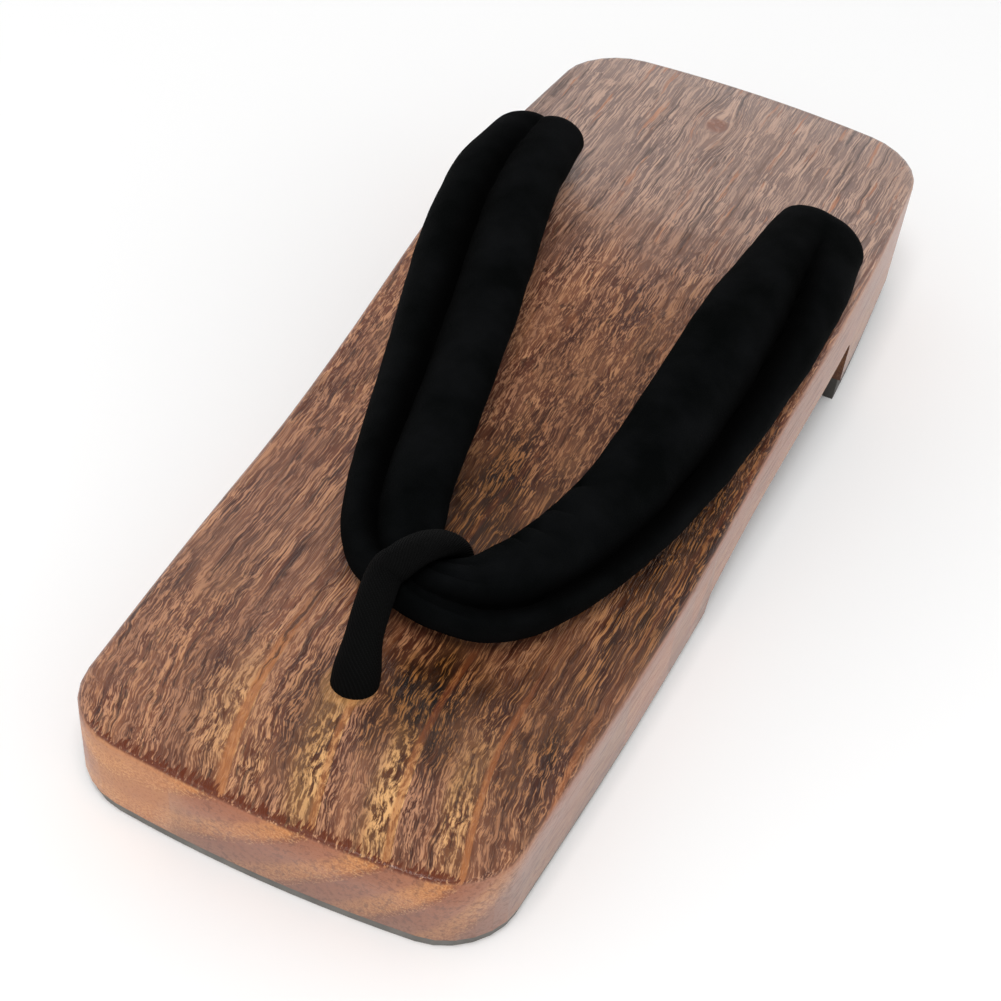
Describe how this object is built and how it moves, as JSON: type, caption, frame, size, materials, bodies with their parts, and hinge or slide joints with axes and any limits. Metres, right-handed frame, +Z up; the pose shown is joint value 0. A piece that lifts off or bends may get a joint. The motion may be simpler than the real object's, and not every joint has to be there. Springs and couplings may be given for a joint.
{
  "type": "geta sandal",
  "caption": "Low wooden geta sandal with a curved deck, an arch between two rubber-soled feet and a padded velvet thong.",
  "frame": {"origin": "centre of the footprint, on the floor plane that the two rubber pads stand on", "axes": "+Z up, -Y towards the toe and +Y towards the heel, +X to the right of the toe seen from above with the toe ahead of the wearer"},
  "size_m": [0.0992, 0.27, 0.0498],
  "materials": {
    "paulownia": "burnt, brushed and lacquered, glossy",
    "sole_rubber": "matte",
    "velvet": "black velvet",
    "ribbed_cord": "charcoal ribbed cloth",
    "hemp": "dark cord, matte"
  },
  "bodies": {
    "root": {"dai": "paulownia", "front_sole_pad": "sole_rubber", "heel_sole_pad": "sole_rubber", "hanao": "velvet", "toe_cord": "ribbed_cord", "rear_tie_left": "hemp", "rear_tie_right": "hemp"}
  },
  "joints": []
}
